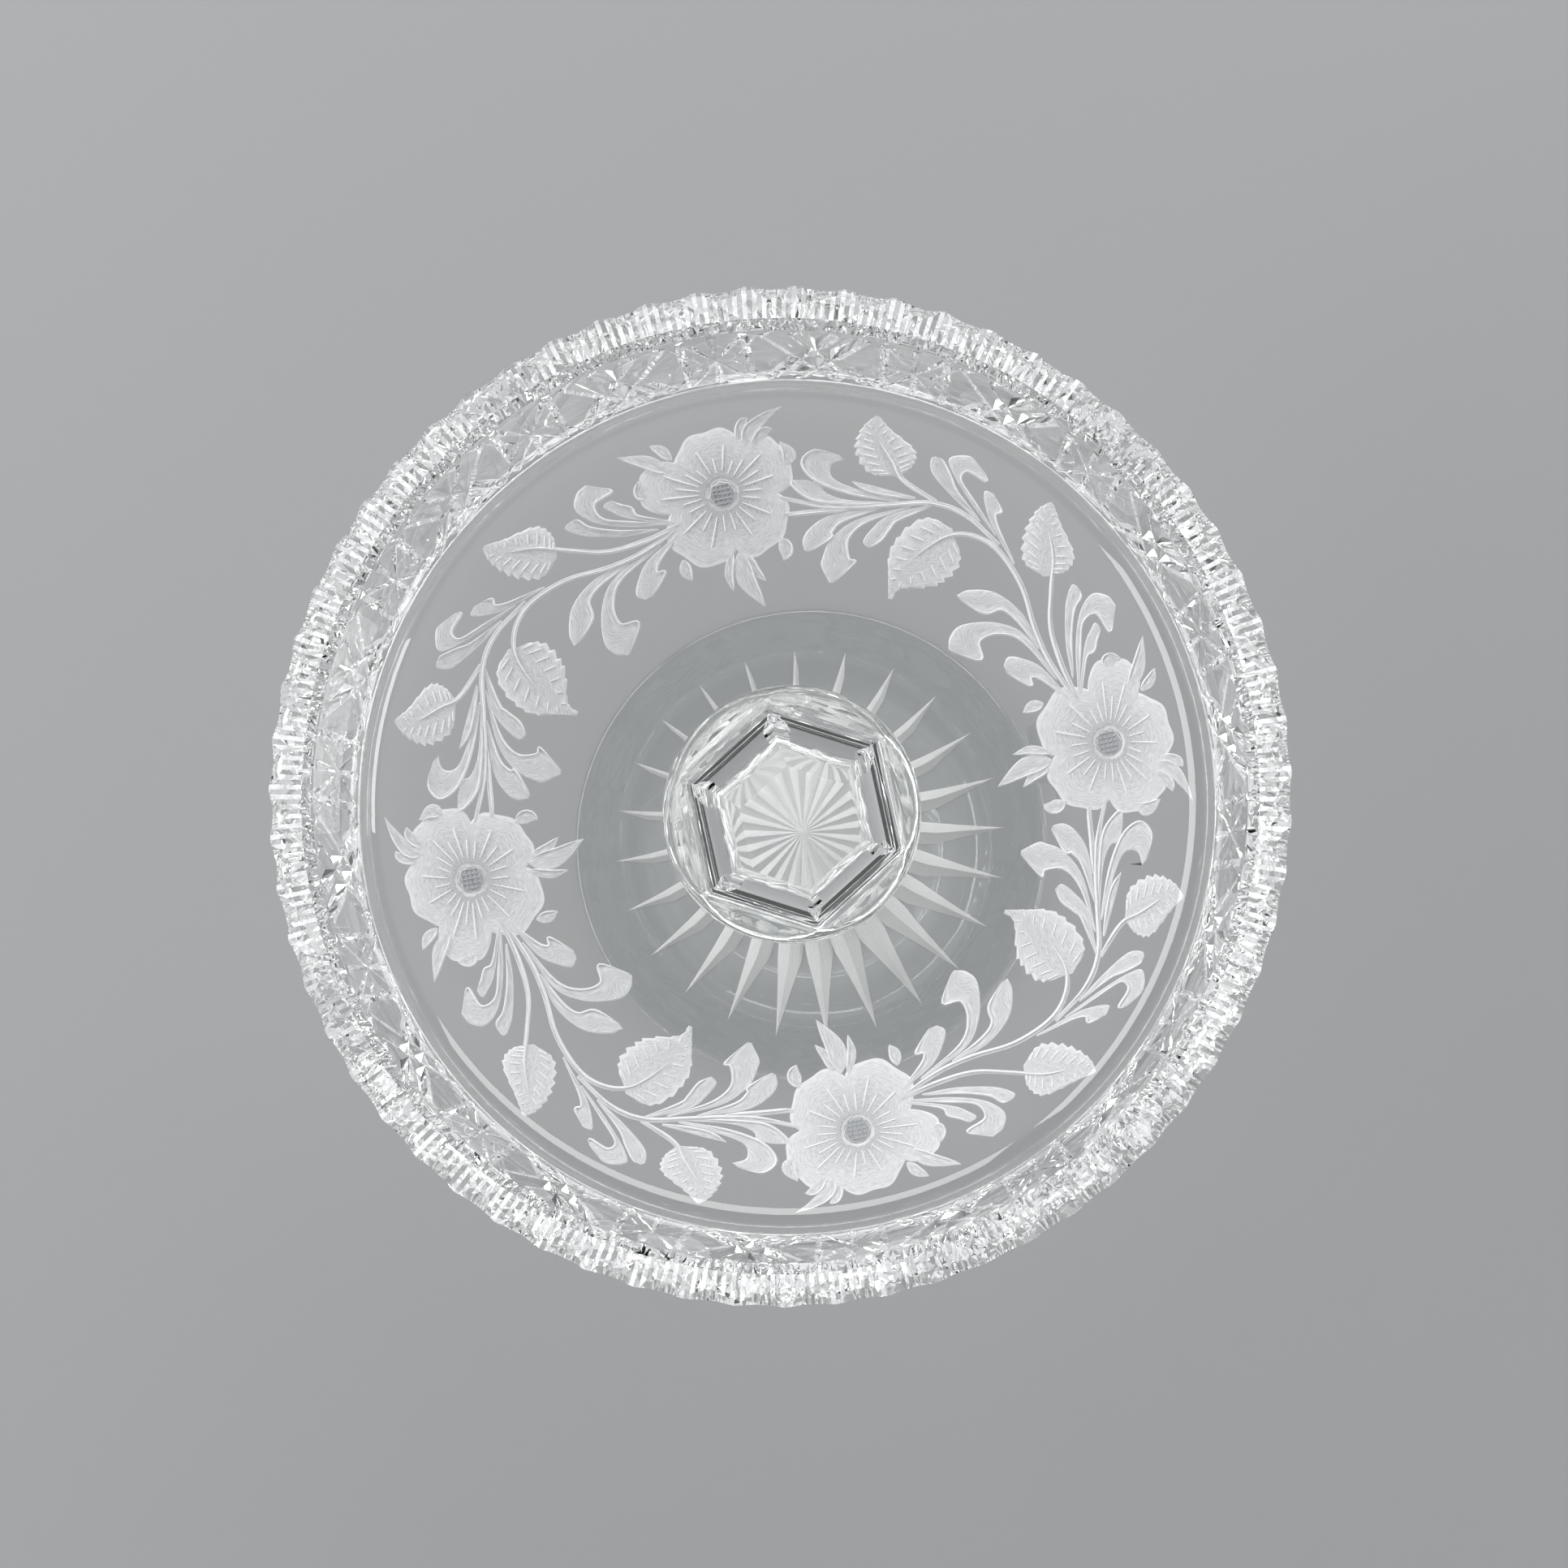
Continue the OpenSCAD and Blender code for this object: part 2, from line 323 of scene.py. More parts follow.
def turned(outline):
    """Closed turned shape from a section that runs from the axis back to the axis."""
    shape = bmesh.new()
    line = [shape.verts.new((r * MM, 0, z * MM)) for r, z in outline]
    for a, b in zip(line, line[1:]):
        shape.edges.new((a, b))
    bmesh.ops.spin(shape, geom=shape.verts[:] + shape.edges[:], cent=(0, 0, 0), axis=(0, 0, 1),
                   dvec=(0, 0, 0), angle=FULL_TURN, steps=SPIN_STEPS, use_merge=True)
    bmesh.ops.remove_doubles(shape, verts=shape.verts, dist=SAME_POINT)
    bmesh.ops.recalc_face_normals(shape, faces=shape.faces)
    shape.loops.layers.uv.new(STROKE_MAP)
    return shape


def new_piece(name, shape, finish):
    mesh = bpy.data.meshes.new(name)
    shape.to_mesh(mesh)
    shape.free()
    mesh.materials.append(finish)
    piece = bpy.data.objects.new(name, mesh)
    bpy.context.scene.collection.objects.link(piece)
    return piece


def cut_away(piece, cutters, finish):
    """Takes a set of closed cutters off a piece, and gives the cut faces their own finish."""
    tool = new_piece("cutter", cutters, finish)
    step = piece.modifiers.new("cut", "BOOLEAN")
    step.operation = "DIFFERENCE"
    step.solver = "MANIFOLD"
    step.material_mode = "TRANSFER"
    step.object = tool
    graph = bpy.context.evaluated_depsgraph_get()
    cut = bpy.data.meshes.new_from_object(piece.evaluated_get(graph))
    piece.modifiers.clear()
    before = piece.data
    piece.data = cut
    cut.name = before.name
    bpy.data.meshes.remove(before)
    tool_mesh = tool.data
    bpy.data.objects.remove(tool)
    bpy.data.meshes.remove(tool_mesh)


def new_cutters():
    shape = bmesh.new()
    shape.loops.layers.uv.new(STROKE_MAP)
    return shape


def turn_to(degrees):
    return Matrix.Rotation(math.radians(degrees), 4, "Z")


def tilt(degrees, axis):
    return Matrix.Rotation(math.radians(degrees), 4, axis)


def shift(x, y, z):
    return Matrix.Translation((x * MM, y * MM, z * MM))


def v_cutter(shape, place, length, start_w, end_w, tip, steep=1):
    """V cut along the local Z axis, centred on the surface, with half widths and ends that may be pointed."""
    made = bmesh.ops.create_cone(shape, cap_ends=True, cap_tris=False, segments=4, radius1=start_w * MM,
                                 radius2=end_w * MM, depth=(length - 2 * tip) * MM)
    if tip:
        ends = {face for vert in made["verts"] for face in vert.link_faces if abs(face.normal.z) > LEVEL}
        made["verts"] += bmesh.ops.poke(shape, faces=list(ends), offset=tip * MM)["verts"]
    bmesh.ops.transform(shape, matrix=place @ Matrix.Diagonal((steep, 1, 1, 1)), verts=made["verts"])


# Finishes
def set_sockets(node, values):
    for name, value in values.items():
        node.inputs[name.replace("_", " ")].default_value = value


def add_node(nodes, kind, **values):
    """Node of a kind, with values for its sockets by name."""
    node = nodes.new(kind)
    set_sockets(node, values)
    return node


def new_finish(name, **values):
    """Material with values for its shader's sockets by name, and its shader."""
    material = bpy.data.materials.new(name)
    material.use_nodes = True
    shader = material.node_tree.nodes["Principled BSDF"]
    set_sockets(shader, values)
    return material, shader


def new_group(name, inputs, outputs):
    """Node group with the kinds of its inputs by name and the names of its outputs, and its two ends."""
    group = bpy.data.node_groups.new(name, "ShaderNodeTree")
    for label, kind in inputs.items():
        group.interface.new_socket(label, in_out="INPUT", socket_type=kind)
    for label in outputs:
        group.interface.new_socket(label, in_out="OUTPUT", socket_type="NodeSocketFloat")
    return group, group.nodes.new("NodeGroupInput"), group.nodes.new("NodeGroupOutput")


def polish_group():
    """Faint wipe marks and hazy patches of handled glass, as a roughness."""
    group, given, out = new_group("polish_marks", {"Amount": "NodeSocketFloat"}, ["Roughness"])
    nodes = group.nodes
    links = group.links
    place = nodes.new("ShaderNodeTexCoord")
    haze = add_node(nodes, "ShaderNodeTexNoise", Scale=28, Detail=4, Roughness=0.6)
    stretch = add_node(nodes, "ShaderNodeMapping", Scale=(30, 260, 90))
    wipes = add_node(nodes, "ShaderNodeTexNoise", Scale=3, Detail=3, Roughness=0.7)
    both = nodes.new("ShaderNodeMath")
    both.operation = "MULTIPLY"
    level = add_node(nodes, "ShaderNodeMapRange", From_Min=0.22, From_Max=0.45, To_Min=0)
    links.new(place.outputs["Object"], haze.inputs["Vector"])
    links.new(place.outputs["Object"], stretch.inputs["Vector"])
    links.new(stretch.outputs["Vector"], wipes.inputs["Vector"])
    links.new(haze.outputs["Fac"], both.inputs[0])
    links.new(wipes.outputs["Fac"], both.inputs[1])
    links.new(both.outputs["Value"], level.inputs["Value"])
    links.new(given.outputs["Amount"], level.inputs["To Max"])
    links.new(level.outputs["Result"], out.inputs["Roughness"])
    return group


def stroke_group():
    """Hatching along the wheel's strokes, plus a painted shade that grows with the depth of the cut; the
    Shade output holds both.
    """
    group, given, out = new_group("wheel_strokes", {"Grain": "NodeSocketVector"}, ["Shade", "Height"])
    nodes = group.nodes
    links = group.links
    strokes = nodes.new("ShaderNodeUVMap")
    strokes.uv_map = STROKE_MAP
    stretch = nodes.new("ShaderNodeMapping")
    hatch = add_node(nodes, "ShaderNodeTexNoise", Scale=1, Detail=4, Roughness=0.65)
    depth = nodes.new("ShaderNodeAttribute")
    depth.attribute_name = DEPTH_MAP
    shade = nodes.new("ShaderNodeMath")
    shade.operation = "ADD"
    links.new(strokes.outputs["UV"], stretch.inputs["Vector"])
    links.new(given.outputs["Grain"], stretch.inputs["Scale"])
    links.new(stretch.outputs["Vector"], hatch.inputs["Vector"])
    # The cut's depth added to the hatching is painted shade: deeper parts of a cut come out darker
    links.new(depth.outputs["Fac"], shade.inputs[0])
    links.new(hatch.outputs["Fac"], shade.inputs[1])
    links.new(shade.outputs["Value"], out.inputs["Shade"])
    links.new(hatch.outputs["Fac"], out.inputs["Height"])
    return group


POLISH = polish_group()
STROKES = stroke_group()


def use_group(nodes, group, **values):
    """Node of a shared group, with values for its inputs by name."""
    node = nodes.new("ShaderNodeGroup")
    node.node_tree = group
    set_sockets(node, values)
    return node


def crystal(name, wiped):
    """Clear polished crystal, which lets light straight through to what lies behind or under it."""
    material, shader = new_finish(name, Base_Color=(0.98, 0.99, 0.985, 1), Metallic=0, IOR=1.54,
                                  Transmission_Weight=1)
    nodes = material.node_tree.nodes
    links = material.node_tree.links
    marks = use_group(nodes, POLISH, Amount=wiped)
    through = add_node(nodes, "ShaderNodeBsdfTransparent", Color=(0.92, 0.925, 0.925, 1))
    path = nodes.new("ShaderNodeLightPath")
    lighting = nodes.new("ShaderNodeMath")
    lighting.operation = "MAXIMUM"
    mix = nodes.new("ShaderNodeMixShader")
    links.new(marks.outputs["Roughness"], shader.inputs["Roughness"])
    links.new(path.outputs["Is Shadow Ray"], lighting.inputs[0])
    links.new(path.outputs["Is Diffuse Ray"], lighting.inputs[1])
    links.new(lighting.outputs["Value"], mix.inputs["Fac"])
    links.new(shader.outputs["BSDF"], mix.inputs[1])
    links.new(through.outputs["BSDF"], mix.inputs[2])
    links.new(mix.outputs["Shader"], nodes["Material Output"].inputs["Surface"])
    return material


def engraved(name, pale, deep, rough, clear, grain):
    """Wheel-cut finish, with its colour mixed from pale to deep by the hatching and by a painted shade that
    darkens the deeper parts of the cut.
    """
    material, shader = new_finish(name, Metallic=0, IOR=1.5, Roughness=rough, Transmission_Weight=clear)
    nodes = material.node_tree.nodes
    links = material.node_tree.links
    strokes = use_group(nodes, STROKES, Grain=grain)
    # Painted shade: the deeper the cut, the nearer its colour comes to the deep colour
    level = add_node(nodes, "ShaderNodeMapRange", From_Min=0.65, From_Max=1.1)
    colour = nodes.new("ShaderNodeMix")
    colour.data_type = "RGBA"
    colour.inputs["A"].default_value = (*pale, 1)
    colour.inputs["B"].default_value = (*deep, 1)
    bump = add_node(nodes, "ShaderNodeBump", Strength=0.5, Distance=0.1 * MM)
    links.new(strokes.outputs["Shade"], level.inputs["Value"])
    links.new(level.outputs["Result"], colour.inputs["Factor"])
    links.new(colour.outputs["Result"], shader.inputs["Base Color"])
    links.new(strokes.outputs["Height"], bump.inputs["Height"])
    links.new(bump.outputs["Normal"], shader.inputs["Normal"])
    return material


WIPED = 0.035
GRAIN = (0.4, 3.4, 1)
BOWL_GLASS = crystal("bowl_clear", WIPED)
STEM_GLASS = crystal("stem_clear", WIPED)
FOOT_GLASS = crystal("foot_clear", WIPED)
# The deep colour of each engraved finish is painted shade for the deepest parts of the cuts
MATT = engraved("engraved_matt", (0.90, 0.905, 0.91), (0.44, 0.45, 0.47), rough=0.55, clear=0.05, grain=GRAIN)
BRIGHT = engraved("engraved_bright", (1.0, 1.0, 1.0), (0.97, 0.97, 0.97), rough=0.5, clear=0.0, grain=GRAIN)
# Star cut faces: a whitish satin colour painted on as a highlight, standing in for the polished cuts catching
# the light; the foot keeps no cut depth, so only the hatching darkens it
STAR_CUT = engraved("star_cut", (0.97, 0.97, 0.97), (0.72, 0.73, 0.74), rough=0.3, clear=0.55, grain=GRAIN)
# Faces that are melted into their neighbour don't show
SEAM, _ = new_finish("fused_seam", Alpha=0, Metallic=0, Transmission_Weight=1)


def fuse(piece, heights, radius):
    """Gives the level faces at some heights, inside a radius, the finish of a melted seam."""
    piece.data.materials.append(SEAM)
    seam = len(piece.data.materials) - 1
    for face in piece.data.polygons:
        middle = face.center
        joined = any(abs(middle.z - z * MM) < SAME_HEIGHT for z in heights)
        if joined and abs(face.normal.z) > LEVEL and math.hypot(middle.x, middle.y) < radius * MM:
            face.material_index = seam


def finish_piece(piece, node):
    mesh = piece.data
    mesh.polygons.foreach_set("use_smooth", [True] * len(mesh.polygons))
    mesh.set_sharp_from_angle(angle=SHARP_ANGLE)
    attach(piece, "root")
    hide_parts(node)


# Bowl
inner = wall_line((LIP_R, RIM_Z - LIP_BEVEL), INNER_LEAN, INNER_HEEL_R, DISH_R, DISH_Z, 0, DISH_STEPS)
outer = wall_line((BOWL_R, RIM_Z), OUTER_LEAN, OUTER_HEEL_R, UNDERSIDE_R, UNDERSIDE_Z, COLLAR_R,
                  UNDERSIDE_STEPS)
seat_r = COLLAR_R - COLLAR_EDGE_R
bowl_section = inner[::-1] + [(LIP_R + LIP_BEVEL, RIM_Z)] + outer + [(seat_r, BOWL_Z), (0, BOWL_Z)]
bowl = new_piece("engraved_bowl", turned(bowl_section), BOWL_GLASS)

# Flutes across the top of the rim
flute_n = SCOOP_N * FLUTES_PER_SCOOP
flute_in = LIP_R - FLUTE_RUN_IN
flute_out = BOWL_R + FLUTE_RUN_OUT
flutes = new_cutters()
for i in range(flute_n):
    place = (turn_to(SCOOP_TURN + 360 * i / flute_n) @ shift((flute_in + flute_out) / 2, 0, RIM_Z)
             @ tilt(90, "Y"))
    inner_w = FLUTE_FILL * math.pi * flute_in / flute_n
    outer_w = FLUTE_FILL * math.pi * flute_out / flute_n
    v_cutter(flutes, place, flute_out - flute_in, inner_w, outer_w, 0, FLUTE_STEEP)
cut_away(bowl, flutes, BOWL_GLASS)

# Pointed end of each flute, on the lip's bevel
point_len = POINT_SHARE * math.sqrt(2) * LIP_BEVEL + POINT_RUN_OUT
flute_ends = new_cutters()
for i in range(flute_n):
    place = (turn_to(SCOOP_TURN + 360 * i / flute_n) @ shift(LIP_R + LIP_BEVEL, 0, RIM_Z) @ tilt(45, "Y")
             @ shift(0, 0, POINT_RUN_OUT - point_len / 2))
    point_w = FLUTE_FILL * math.pi * (LIP_R + LIP_BEVEL) / flute_n
    v_cutter(flute_ends, place, point_len, POINT_TIP_W, point_w, 0, FLUTE_STEEP)
cut_away(bowl, flute_ends, BOWL_GLASS)

# Scoops round the outer corner of the rim, cut in batches that don't touch each other
scoop_half = BOWL_R * math.sin(math.pi / SCOOP_N) - SCOOP_LAND / 2
scoop_r = (scoop_half ** 2 + SCOOP_DEPTH ** 2) / (2 * SCOOP_DEPTH)
for batch in range(SCOOP_BATCHES):
    scoops = new_cutters()
    for i in range(batch, SCOOP_N, SCOOP_BATCHES):
        place = (turn_to(SCOOP_TURN + 360 * i / SCOOP_N) @ shift(BOWL_R, 0, RIM_Z) @ tilt(45, "Y")
                 @ shift(0, 0, scoop_r - SCOOP_DEPTH) @ tilt(90, "Y"))
        bmesh.ops.create_cone(scoops, cap_ends=True, segments=SCOOP_SEGMENTS, radius1=scoop_r * MM,
                              radius2=scoop_r * MM, depth=4 * RIM_W * MM, matrix=place)
    cut_away(bowl, scoops, BOWL_GLASS)

# Band of crossed mitre bars and star panels
band_mid = BAND_DROP + BAND_H / 2
band_r = BOWL_R - band_mid * math.tan(math.radians(OUTER_LEAN))
slant_h = BAND_H / math.cos(math.radians(OUTER_LEAN))
bar_len = slant_h / math.cos(math.radians(MITRE_LEAN))
star_lean = math.degrees(math.atan(2 * STAR_HALF_W / slant_h))
diagonal = slant_h / math.cos(math.radians(star_lean))
cross_turns = [CROSS_TURN + 360 * i / CROSS_N for i in range(CROSS_N)]
star_turns = [turn + 180 / CROSS_N for turn in cross_turns]


def on_band(turn, along, lean):
    """Place of a cut on the outer wall, some millimetres along the band and leaning."""
    side_turn = math.degrees(math.asin(along / band_r))
    wall = turn_to(turn + side_turn) @ shift(band_r, 0, RIM_Z - band_mid) @ tilt(OUTER_LEAN, "Y")
    return wall @ tilt(lean, "X")


def cut_band(turns, cuts, start_w, end_w, tip):
    """Repeats cuts round the band, each given as its place along, lean, offset up its own line and length."""
    for along, lean, offset, length in cuts:
        cutters = new_cutters()
        for turn in turns:
            v_cutter(cutters, on_band(turn, along, lean) @ shift(0, 0, offset), length, start_w, end_w, tip)
        cut_away(bowl, cutters, BOWL_GLASS)


bars = [(side * MITRE_GAP / 2, lean * MITRE_LEAN, 0, bar_len) for side in (-1, 1) for lean in (-1, 1)]
cut_band(cross_turns, bars, MITRE_DEPTH, MITRE_DEPTH, MITRE_TIP)
sides = [(side * STAR_HALF_W, 0, 0, slant_h) for side in (-1, 1)]
cut_band(star_turns, sides, STAR_DEPTH, STAR_DEPTH, STAR_SIDE_TIP)
lattice = [(side * STAR_HALF_W / 2, lean * star_lean, offset * diagonal / 4, diagonal / 2)
           for side in (-1, 1) for lean, offset in ((-side, 1), (side, -1))]
cut_band(star_turns, lattice, FINE_DEPTH, FINE_DEPTH, FINE_TIP)
rays = [(0, lean, reach / 2, reach) for lean, reach in (
    (0, slant_h / 2), (180, slant_h / 2), (90, STAR_HALF_W), (-90, STAR_HALF_W),
    (star_lean, diagonal / 2), (-star_lean, diagonal / 2),
    (180 - star_lean, diagonal / 2), (star_lean - 180, diagonal / 2))]
cut_band(star_turns, rays, STAR_ROOT, STAR_SPREAD, 0)

# Engraved garland on the underside
_, heel_end = heel((BOWL_R, RIM_Z), OUTER_LEAN, OUTER_HEEL_R, UNDERSIDE_R, UNDERSIDE_Z)
underside_end_r = UNDERSIDE_R * math.cos(math.radians(heel_end))
# Cutters of each finish, in layers in which nothing overlaps
layers = {"matt": [], "bright": []}


def underside(radius):
    """Height of the bowl's dished underside at a radius."""
    return UNDERSIDE_Z - math.sqrt(UNDERSIDE_R ** 2 - radius ** 2)


def spot(flower, angle, radius):
    """Plan position of a point of the garland."""
    turn = math.radians(FLOWER_TURN + 360 * flower / FLOWER_N - angle)
    return Vector((radius * math.cos(turn), radius * math.sin(turn)))


def smooth_line(points, steps):
    """A smooth line through some points, with a number of steps from each to the next."""
    ends = [2 * points[0] - points[1]] + points + [2 * points[-1] - points[-2]]
    line = []
    for a, b, c, d in zip(ends, ends[1:], ends[2:], ends[3:]):
        for i in range(steps):
            t = i / steps
            bend = (2 * a - 5 * b + 4 * c - d) * t ** 2 + (3 * b - a - 3 * c + d) * t ** 3
            line.append((2 * b + (c - a) * t + bend) / 2)
    return line + [points[-1]]


def free_layer(kind, points):
    """Cutters of the first layer in which nothing overlaps the box round some points."""
    low = Vector((min(p.x for p in points), min(p.y for p in points)))
    high = Vector((max(p.x for p in points), max(p.y for p in points)))
    for layer in layers[kind]:
        if all(low.x > b.x or high.x < a.x or low.y > b.y or high.y < a.y for a, b in layer["boxes"]):
            break
    else:
        layer = {"boxes": [], "cutters": new_cutters()}
        layers[kind].append(layer)
    layer["boxes"].append((low, high))
    return layer["cutters"]


def engrave(kind, left, right, across, depths):
    """Shallow cut between two edge lines, with a depth at each share of the way across."""
    cutters = free_layer(kind, left + right)
    strokes = cutters.loops.layers.uv[STROKE_MAP]
    rows = len(left) - 1
    cols = len(across) - 1
    grid = bmesh.ops.create_grid(cutters, x_segments=rows, y_segments=cols, size=0.5)
    stroke_spots = {}
    for vert in grid["verts"]:
        row = round((vert.co.x + 0.5) * rows)
        col = round((vert.co.y + 0.5) * cols)
        width = (left[row] - right[row]).length
        place = left[row].lerp(right[row], across[col])
        border = row in (0, rows) or col in (0, cols)
        depth = -EDGE_STAND if border else min(depths[col], STEEPEST * width)
        vert.co = (place.x * MM, place.y * MM, (underside(place.length) + depth) * MM)
        stroke_spots[vert] = (row, across[col] * width)
    faces = list({face for vert in grid["verts"] for face in vert.link_faces})
    for face in faces:
        for loop in face.loops:
            loop[strokes].uv = stroke_spots[loop.vert]
    pulled = bmesh.ops.extrude_face_region(cutters, geom=faces)
    for vert in pulled["geom"]:
        if isinstance(vert, bmesh.types.BMVert):
            vert.co.z = (underside(vert.co.xy.length / MM) - OUTSIDE) * MM


def engrave_shape(left, right, hollow):
    """Matt shape with steep edges all round."""
    for edge in (left, right):
        edge.insert(1, edge[0].lerp(edge[1], END_STEP))
        edge.insert(-1, edge[-1].lerp(edge[-2], END_STEP))
    engrave("matt", left, right, ACROSS, [MATT_DEPTH * share for share in hollow])


def beside(line, half_widths):
    """Lines to the left and right of a line, at half widths given for each of its points."""
    last = len(line) - 1
    left = []
    right = []
    for i, (point, half) in enumerate(zip(line, half_widths)):
        ahead = line[min(i + 1, last)] - line[max(i - 1, 0)]
        side = Vector((-ahead.y, ahead.x)).normalized()
        left.append(point + side * half)
        right.append(point - side * half)
    return left, right


def engrave_line(line, half_w, depth):
    """Bright V cut along a line, pointed at both ends."""
    last = len(line) - 1
    halves = [half_w * min(1, LINE_END + LINE_TAPER * min(i, last - i) / last) for i in range(last + 1)]
    engrave("bright", *beside(line, halves), (0, 0.5, 1), (0, depth, 0))


def edge_lines(flower, rows, steps):
    left = smooth_line([spot(flower, row[0], row[1]) for row in rows], steps)
    right = smooth_line([spot(flower, row[2], row[3]) for row in rows], steps)
    return left, right


def engrave_lobe(flower, rows, bright_side):
    lines = edge_lines(flower, rows, LOBE_STEPS)
    engrave_line(lines[bright_side], LOBE_LINE_W, LINE_DEPTH)
    engrave_shape(*lines, HOLLOW)


def serrated(edge, middle, bite):
    last = len(edge) - 1
    return [a.lerp(b, bite * (i * LEAF_TEETH / last % 1)) for i, (a, b) in enumerate(zip(edge, middle))]


def engrave_leaf(flower, rows):
    """Leaf with saw-toothed edges, and veins that lean from its midrib to its tip."""
    left, right = edge_lines(flower, rows, LEAF_STEPS // (len(rows) - 1))
    middle = [a.lerp(b, 0.5) for a, b in zip(left, right)]
    for edge in (left, right):
        for i in range(VEIN_FIRST, len(edge) - VEIN_LAST, VEIN_GAP):
            root = middle[i].lerp(edge[i + VEIN_GAP // 2], VEIN_ROOT)
            tip = middle[i].lerp(edge[i + VEIN_GAP], VEIN_TIP)
            engrave_line(smooth_line([root, tip], VEIN_STEPS), VEIN_W, VEIN_DEPTH)
    engrave_shape(serrated(left, middle, LEFT_BITE), serrated(right, middle, RIGHT_BITE), HOLLOW)


def engrave_stem(flower, points):
    line = smooth_line([spot(flower, *point) for point in points], LOBE_STEPS)
    outside = [point * (1 + STEM_W / point.length) for point in line]
    engrave_line(line, STEM_LINE_W, LINE_DEPTH)
    engrave_shape(line, outside, HOLLOW)


def engrave_small_leaf(flower, root, middle, tip, width):
    spine = smooth_line([spot(flower, *point) for point in (root, middle, tip)], SMALL_LEAF_STEPS)
    last = len(spine) - 1
    swell = [math.sin(math.pi * (i / last) ** SMALL_LEAF_BELLY) for i in range(last + 1)]
    halves = [SMALL_LEAF_TIP + width / 2 * share for share in swell]
    left, right = beside(spine, halves)
    engrave_line(left, SMALL_LEAF_LINE_W, LINE_DEPTH)
    engrave_shape(left, right, HOLLOW)


def engrave_petal(flower, direction, spread, reach):
    """Petal between the flower's disc and a rounded outer edge, with bright lines that fan over it."""
    centre = spot(flower, 0, FLOWER_R)
    outward = centre.normalized()
    clockwise = Vector((outward.y, -outward.x))
    shares = [2 * i / PETAL_STEPS - 1 for i in range(PETAL_STEPS + 1)]

    def point(share, radius):
        turn = math.radians(direction - PETAL_OVERLAP * spread * share)
        return centre + radius * (math.cos(turn) * clockwise + math.sin(turn) * outward)

    def edge_r(share):
        ripple = RIPPLE * math.sin(RIPPLES * share + direction)
        return NOTCH_R + (reach - NOTCH_R) * (1 - abs(share) ** 3) + ripple

    for i in range(PETAL_LINE_N):
        share = PETAL_LINE_GAP * (i - (PETAL_LINE_N - 1) / 2)
        length = PETAL_LINE_LENGTHS[i % 2]
        start = point(share, PETAL_LINE_START * DISC_R)
        end = point(share * PETAL_LINE_FAN, length * edge_r(share))
        engrave_line(smooth_line([start, end], PETAL_LINE_STEPS), PETAL_LINE_W, PETAL_LINE_DEPTH)
    engrave_shape([point(share, edge_r(share)) for share in shares],
                  [point(share, PETAL_ROOT * DISC_R) for share in shares], PETAL_HOLLOW)


for flower in range(FLOWER_N):
    for rows in LEFT_EDGED_LOBES:
        engrave_lobe(flower, rows, 0)
    for rows in RIGHT_EDGED_LOBES:
        engrave_lobe(flower, rows, 1)
    for rows in LEAVES:
        engrave_leaf(flower, rows)
    for points in STEMS:
        engrave_stem(flower, points)
    for leaf in SMALL_LEAVES:
        engrave_small_leaf(flower, *leaf)
    for petal in PETALS:
        engrave_petal(flower, *petal)
for kind, finish in (("matt", MATT), ("bright", BRIGHT)):
    for layer in layers[kind]:
        bmesh.ops.recalc_face_normals(layer["cutters"], faces=layer["cutters"].faces)
        cut_away(bowl, layer["cutters"], finish)

# Hatched discs in the middle of the flowers
discs = new_cutters()
hatches = (new_cutters(), new_cutters())
for flower in range(FLOWER_N):
    point = spot(flower, 0, FLOWER_R)
    low = Vector((point.x, point.y, underside(FLOWER_R)))
    inward = Vector((0, 0, UNDERSIDE_Z)) - low
    on_disc = Matrix.Translation(low * MM) @ inward.to_track_quat("Z", "Y").to_matrix().to_4x4()
    bmesh.ops.create_cone(discs, cap_ends=True, segments=DISC_SIDES, radius1=DISC_R * (1 + DISC_TAPER) * MM,
                          radius2=DISC_R * (1 - DISC_TAPER) * MM, depth=2 * DISC_DEPTH * MM, matrix=on_disc)
    for hatch, turn in zip(hatches, (0, 90)):
        for i in range(HATCH_N):
            step = i - (HATCH_N - 1) / 2
            place = on_disc @ turn_to(turn) @ shift(0, HATCH_GAP * step, DISC_DEPTH) @ tilt(90, "Y")
            v_cutter(hatch, place, 2 * math.sqrt(HATCH_R ** 2 - step ** 2), HATCH_W, HATCH_W, HATCH_TIP)
for cutters in (discs, *hatches):
    cut_away(bowl, cutters, MATT)

fuse(bowl, [BOWL_Z], seat_r)
# Depth of each point below the underside, which the engraved finishes turn into painted shade
cut_depth = bowl.data.attributes.new(DEPTH_MAP, "FLOAT", "POINT")
for vert, held in zip(bowl.data.vertices, cut_depth.data):
    radius = vert.co.xy.length / MM
    if radius < underside_end_r:
        held.value = max(0, min(1, vert.co.z / MM - underside(radius)))
finish_piece(bowl, "bowl")

# Collar
collar_mid = BOWL_Z - COLLAR_EDGE_R
collar_edge = arc((seat_r, collar_mid), COLLAR_EDGE_R, 90, -90, COLLAR_STEPS)
collar_section = [(0, BOWL_Z)] + collar_edge + [(0, STEM_TOP_Z)]
collar = new_piece("round_collar", turned(collar_section), STEM_GLASS)
fuse(collar, [BOWL_Z, STEM_TOP_Z], seat_r)
finish_piece(collar, "collar")

# Stem: a turned blank with six hollow panels
top_run = math.sqrt(TOP_FLARE_R ** 2 - (STEM_FLAT_R + TOP_FLARE_R - STEM_TOP_R) ** 2)
foot_run = math.sqrt(FOOT_FLARE_R ** 2 - (STEM_FLAT_R + FOOT_FLARE_R - STEM_FOOT_R) ** 2)
panel_top_z = STEM_TOP_Z - STEM_LAND - top_run
panel_foot_z = FOOT_TOP_Z + STEM_LAND + foot_run


